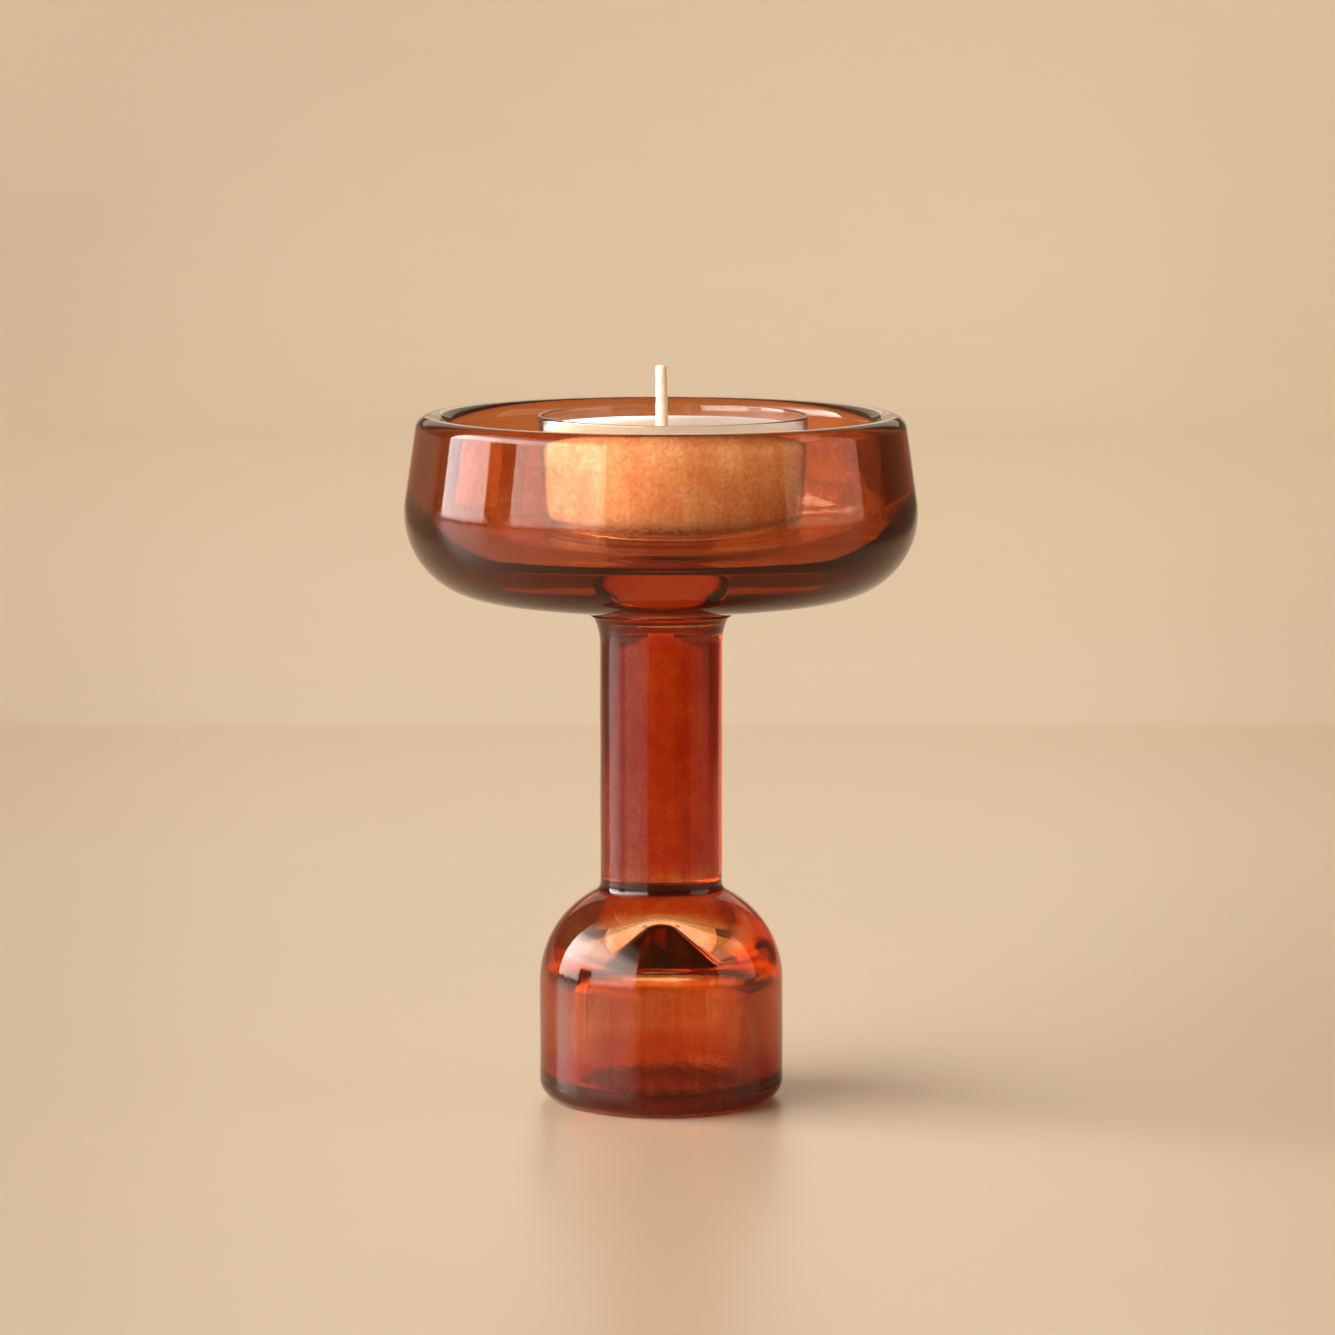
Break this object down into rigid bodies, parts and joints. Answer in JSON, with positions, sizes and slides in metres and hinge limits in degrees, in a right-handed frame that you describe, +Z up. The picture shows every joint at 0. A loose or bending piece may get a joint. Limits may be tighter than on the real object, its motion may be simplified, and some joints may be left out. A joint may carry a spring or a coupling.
{
  "type": "tealight holder",
  "caption": "Footed tealight holder of stained glass: a wide round bowl on a solid stem with a hollow domed foot, holding a tealight in a clear cup.",
  "frame": {"origin": "centre of the foot's underside, on the surface that it stands on", "axes": "+Z up along the axis of the bowl, stem and foot; the tealight stands slightly towards +X in the bowl; -Y is the front"},
  "size_m": [0.0728, 0.0728, 0.105],
  "materials": {
    "stained_glass": "glossy",
    "clear_bond": "glossy",
    "clear_plastic": "glossy",
    "wax": "satin",
    "tin": "satin",
    "wick_cotton": "matte"
  },
  "bodies": {
    "holder": {"bowl": "stained_glass", "bond": "clear_bond", "pedestal": "stained_glass"},
    "tealight": {"tealight_cup": "clear_plastic"},
    "candle": {"wax": "wax", "wick_holder": "tin", "wick": "wick_cotton"}
  },
  "joints": [
    {"name": "tealight_lift", "type": "slide", "parent": "holder", "child": "tealight", "axis": [0, 0, 1], "range_m": [0, 0.03]},
    {"name": "candle_lift", "type": "slide", "parent": "tealight", "child": "candle", "axis": [0, 0, 1], "range_m": [0, 0.025]}
  ]
}
